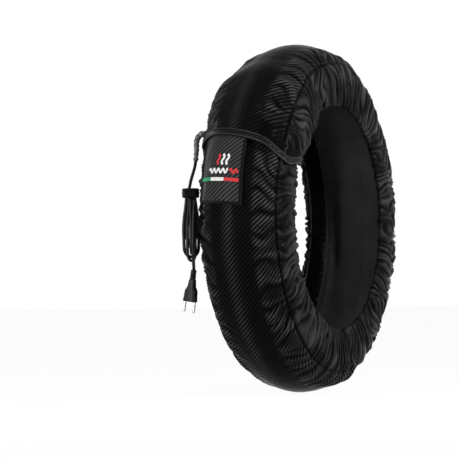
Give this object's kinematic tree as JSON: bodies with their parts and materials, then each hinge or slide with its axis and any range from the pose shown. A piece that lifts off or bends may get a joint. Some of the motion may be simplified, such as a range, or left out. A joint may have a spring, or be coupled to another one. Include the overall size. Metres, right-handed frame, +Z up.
{
  "type": "motorcycle tire warmer",
  "caption": "Heated quilted wrap for a front motorcycle tire, with gathered elastic skirts, a flap end with a pull tab, and a corded plug.",
  "frame": {"origin": "centre of the wheel that the warmer is wrapped round", "axes": "+Y along the wheel's axle towards the cord's side, +Z up, the flap and its pull tab face -X"},
  "size_m": [0.6299, 0.2043, 0.624],
  "materials": {
    "cover_cloth": "coated twill, semi gloss",
    "trim_tape": "woven tape",
    "elastic": "braided",
    "felt": "needled felt",
    "heating_ribbon": "silicone",
    "lining_cloth": "matt aramid weave",
    "black_plastic": "moulded satin",
    "grey_plastic": "moulded gloss",
    "cord_rubber": "satin",
    "stripe_tape": "woven ribbon in three colours",
    "pin_metal": "nickel plated"
  },
  "bodies": {
    "root": {"tread_cover": "cover_cloth", "side_skirt_near": "cover_cloth", "side_skirt_far": "cover_cloth", "hem_elastic_near": "elastic", "hem_elastic_far": "elastic", "end_binding": "trim_tape", "insulation_felt": "felt", "heating_element": "heating_ribbon", "inner_lining": "lining_cloth", "thermostat": "black_plastic", "supply_lead": "cord_rubber", "flap_loop_tape": "trim_tape", "flap_hook_tape": "trim_tape", "tab_loop_patch": "trim_tape", "tab_hook_patch": "trim_tape", "pull_tab": "cover_cloth", "tab_binding": "trim_tape", "stripe_ribbon": "stripe_tape", "cord_outlet_patch": "trim_tape", "cord_gland": "black_plastic", "cord_strain_relief": "grey_plastic", "cord_lead": "cord_rubber", "cord_tail": "cord_rubber", "cord_hank": "cord_rubber", "cord_tie": "trim_tape", "plug_relief": "black_plastic", "plug_body": "black_plastic", "plug_pin_left": "pin_metal", "plug_pin_right": "pin_metal"}
  },
  "joints": []
}
